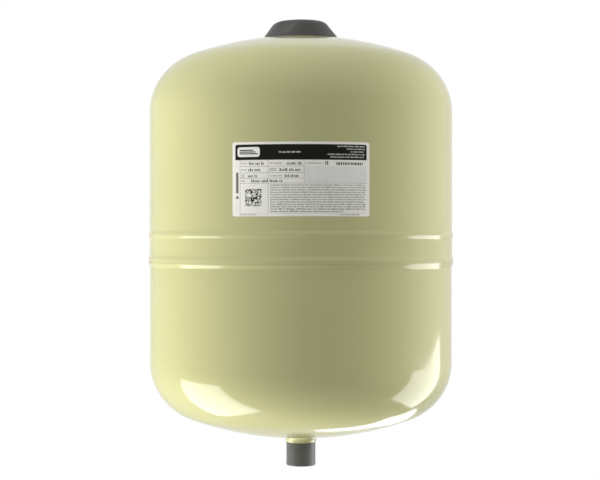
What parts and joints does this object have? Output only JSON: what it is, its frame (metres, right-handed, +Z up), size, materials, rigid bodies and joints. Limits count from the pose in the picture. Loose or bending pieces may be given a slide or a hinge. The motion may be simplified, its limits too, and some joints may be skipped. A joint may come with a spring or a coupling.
{
  "type": "expansion vessel",
  "caption": "Upright round-ended steel pressure vessel with a clamped diaphragm, a charging valve under a fluted cover and a threaded water connection below.",
  "frame": {"origin": "centre of the end face of the water connection", "axes": "+Z up the vessel's axis towards the charging valve, -Y out of the label's middle, +X to the right seen from the label side"},
  "size_m": [0.282, 0.282, 0.4113],
  "materials": {
    "paint": "gloss cream stoved paint",
    "label_film": "white self-adhesive film, satin",
    "cover_plastic": "moulded dark grey polypropylene, fine spark-eroded texture",
    "brass": "turned, bright",
    "seal_rubber": "black EPDM, smooth",
    "zinc_steel": "bright zinc plated",
    "spring_steel": "drawn stainless wire",
    "cap_plastic": "moulded black plastic",
    "diaphragm_rubber": "moulded butyl, matt",
    "liner_plastic": "natural polypropylene",
    "connection_steel": "turned, zinc plated",
    "protector_plastic": "dark grey soft plastic, slight gloss"
  },
  "bodies": {
    "vessel": {"upper_shell": "paint", "lower_shell": "paint", "shell_weld": "paint", "nipple_weld": "paint", "label": "label_film", "valve_stem": "brass", "valve_gasket": "seal_rubber", "valve_washer": "zinc_steel", "valve_nut": "zinc_steel", "core_barrel": "brass", "core_spring": "spring_steel", "clench_ring": "zinc_steel", "diaphragm": "diaphragm_rubber", "water_liner": "liner_plastic", "spout_oring": "seal_rubber", "water_nipple": "connection_steel"},
    "cover": {"valve_cover": "cover_plastic"},
    "cap_disc": {"dust_cap_gasket": "seal_rubber"},
    "cap": {"dust_cap": "cap_plastic"},
    "pin": {"core_pin": "brass", "core_seal": "seal_rubber"},
    "diaphragm_centre": {"diaphragm_crown": "diaphragm_rubber"},
    "protector": {"thread_protector": "protector_plastic"}
  },
  "joints": [
    {"name": "cover_lift", "type": "slide", "parent": "vessel", "child": "cover", "axis": [0, 0, 1], "range_m": [0, 0.06]},
    {"name": "cap_lift", "type": "slide", "parent": "vessel", "child": "cap_disc", "axis": [0, 0, 1], "range_m": [0, 0.00715]},
    {"name": "cap_turn", "type": "hinge", "parent": "cap_disc", "child": "cap", "pos_m": [0, 0, 0.395], "axis": [0, 0, 1], "range_deg": [0, 3241]},
    {"name": "pin_press", "type": "slide", "parent": "vessel", "child": "pin", "axis": [0, 0, -1], "range_m": [0, 0.0015], "stiffness_N_per_m": 400, "springref_m": -0.004, "deforming": ["core_spring"]},
    {"name": "diaphragm_rise", "type": "slide", "parent": "vessel", "child": "diaphragm_centre", "axis": [0, 0, 1], "range_m": [0, 0.145], "deforming": ["diaphragm"]},
    {"name": "protector_pull", "type": "slide", "parent": "vessel", "child": "protector", "axis": [0, 0, -1], "range_m": [0, 0.08]}
  ],
  "couplings": [
    {"joint": "cap_turn", "follows": "cap_lift", "rad_per_m": 7913.3}
  ]
}
